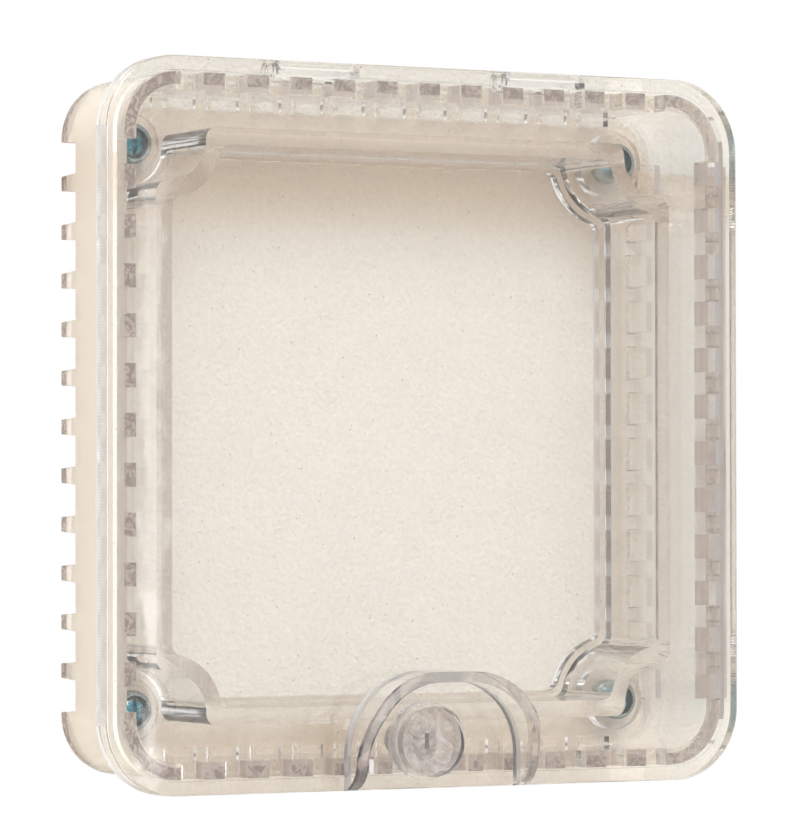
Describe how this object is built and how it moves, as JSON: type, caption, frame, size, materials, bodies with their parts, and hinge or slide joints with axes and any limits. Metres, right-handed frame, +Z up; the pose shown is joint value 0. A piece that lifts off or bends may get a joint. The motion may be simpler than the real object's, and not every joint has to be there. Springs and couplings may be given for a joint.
{
  "type": "thermostat lock box",
  "caption": "Clear wall-mounted guard with a vented base frame, an inner baffle, a top-hinged cover and a hooded key lock at the bottom.",
  "frame": {"origin": "centre of the four mounting screws, on the wall plane behind the base", "axes": "+Z up, +X to the right seen from the front, +Y into the wall, so the front faces -Y"},
  "size_m": [0.1524, 0.0606, 0.1524],
  "materials": {
    "clear_base": "clear moulded polycarbonate, glossy",
    "clear_cover": "clear moulded polycarbonate, glossy",
    "clear_lock": "clear moulded plastic, glossy",
    "zinc_screws": "blue-green zinc plating",
    "lock_steel": "plain steel"
  },
  "bodies": {
    "frame": {"base": "clear_base", "mounting_screws": "zinc_screws"},
    "cover": {"cover": "clear_cover"},
    "lock": {"lock_plug": "clear_lock", "wafers": "lock_steel", "wafer_springs": "lock_steel", "cam_washer": "lock_steel", "cam": "clear_lock", "cam_screw": "lock_steel"}
  },
  "joints": [
    {"name": "cover_hinge", "type": "hinge", "parent": "frame", "child": "cover", "pos_m": [0, -0.022, 0.0743], "axis": [-1, 0, 0], "range_deg": [0, 100]},
    {"name": "lock_turn", "type": "hinge", "parent": "cover", "child": "lock", "pos_m": [0, -0.0264, -0.06642], "axis": [0, 1, 0], "range_deg": [0, 90]}
  ]
}
